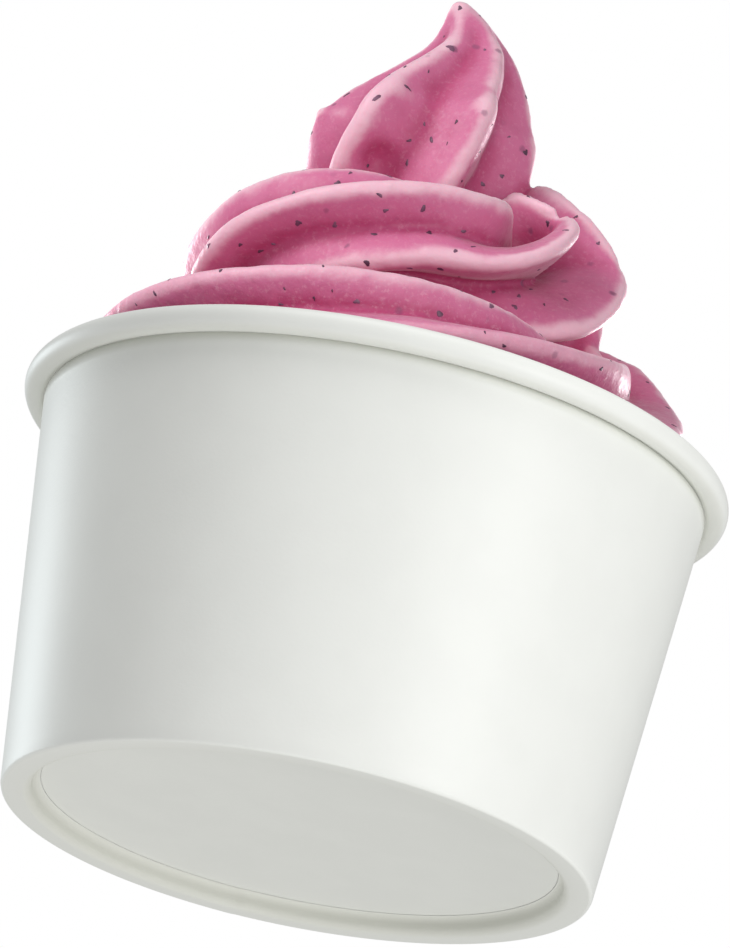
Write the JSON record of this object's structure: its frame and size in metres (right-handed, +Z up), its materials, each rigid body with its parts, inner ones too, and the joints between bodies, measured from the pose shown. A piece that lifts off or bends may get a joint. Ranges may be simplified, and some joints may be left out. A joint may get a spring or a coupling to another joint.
{
  "type": "frozen yogurt cup",
  "caption": "Short tapered paper cup with a rolled rim, filled with pink frozen yogurt piped into a tall fluted swirl that ends in a leaning tip.",
  "frame": {"origin": "centre of the foot ring, on the plane the cup stands on", "axes": "+Z up the cup's axis to the tip of the swirl; -Y faces the front of the swirl; +X to the right seen from the front"},
  "size_m": [0.096, 0.096, 0.1222],
  "materials": {
    "coated_paper": "white coated paper, faint satin sheen",
    "base_paper": "white coated paper, matte",
    "frozen_yogurt": "pink frozen yogurt, soft satin, with fine icy grain and dark fruit flecks"
  },
  "bodies": {
    "root": {"cup_sidewall": "coated_paper", "cup_base_disc": "base_paper", "frozen_yogurt": "frozen_yogurt"}
  },
  "joints": []
}
